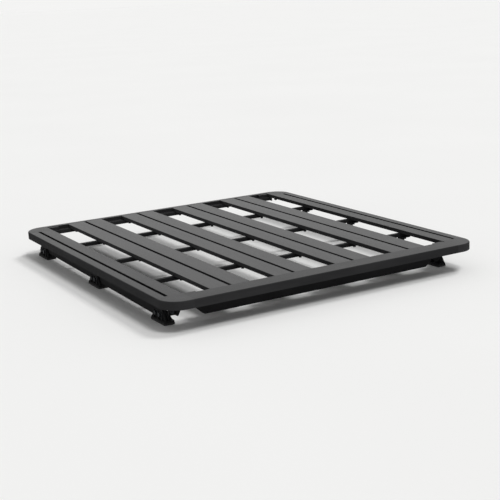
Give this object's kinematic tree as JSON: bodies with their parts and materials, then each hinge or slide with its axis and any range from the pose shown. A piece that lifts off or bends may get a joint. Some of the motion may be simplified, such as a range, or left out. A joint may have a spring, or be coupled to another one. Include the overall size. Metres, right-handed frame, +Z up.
{
  "type": "flat platform roof rack",
  "caption": "Flat platform roof rack: slotted lengthwise planks in a rounded perimeter frame over cross bars, on risers, mount rails and padded feet.",
  "frame": {"origin": "on the level plane under the pads, below the middle of the platform", "axes": "+Z up, -Y to the front of the vehicle, +X to the vehicle's left"},
  "size_m": [1.236, 1.328, 0.108],
  "materials": {
    "coated_rail": "matte",
    "coated_casting": "matte",
    "coated_plank": "matte",
    "coated_bar": "satin",
    "coated_mount": "satin",
    "moulded_cap": "matte",
    "pad_rubber": "matte"
  },
  "bodies": {
    "root": {"front_rail": "coated_rail", "rear_rail": "coated_rail", "side_rail_left": "coated_rail", "side_rail_right": "coated_rail", "corner_front_left": "coated_casting", "corner_front_right": "coated_casting", "corner_rear_left": "coated_casting", "corner_rear_right": "coated_casting", "plank_1": "coated_plank", "plank_2": "coated_plank", "plank_3": "coated_plank", "plank_4": "coated_plank", "cross_bar_front": "coated_bar", "cross_bar_middle": "coated_bar", "cross_bar_rear": "coated_bar", "front_cross_member": "coated_bar", "front_bracket_left": "coated_bar", "front_bracket_right": "coated_bar", "mount_rail_left": "coated_mount", "mount_rail_right": "coated_mount", "rail_ledge_left": "coated_mount", "rail_ledge_right": "coated_mount", "riser_front_left": "coated_mount", "riser_front_right": "coated_mount", "riser_middle_left": "coated_mount", "riser_middle_right": "coated_mount", "riser_rear_left": "coated_mount", "riser_rear_right": "coated_mount", "foot_front_left": "coated_mount", "foot_front_right": "coated_mount", "foot_middle_left": "coated_mount", "foot_middle_right": "coated_mount", "foot_rear_left": "coated_mount", "foot_rear_right": "coated_mount", "rail_cap_front_left": "moulded_cap", "rail_cap_front_right": "moulded_cap", "rail_cap_rear_left": "moulded_cap", "rail_cap_rear_right": "moulded_cap", "pad_front_left": "pad_rubber", "pad_front_right": "pad_rubber", "pad_middle_left": "pad_rubber", "pad_middle_right": "pad_rubber", "pad_rear_left": "pad_rubber", "pad_rear_right": "pad_rubber"}
  },
  "joints": []
}
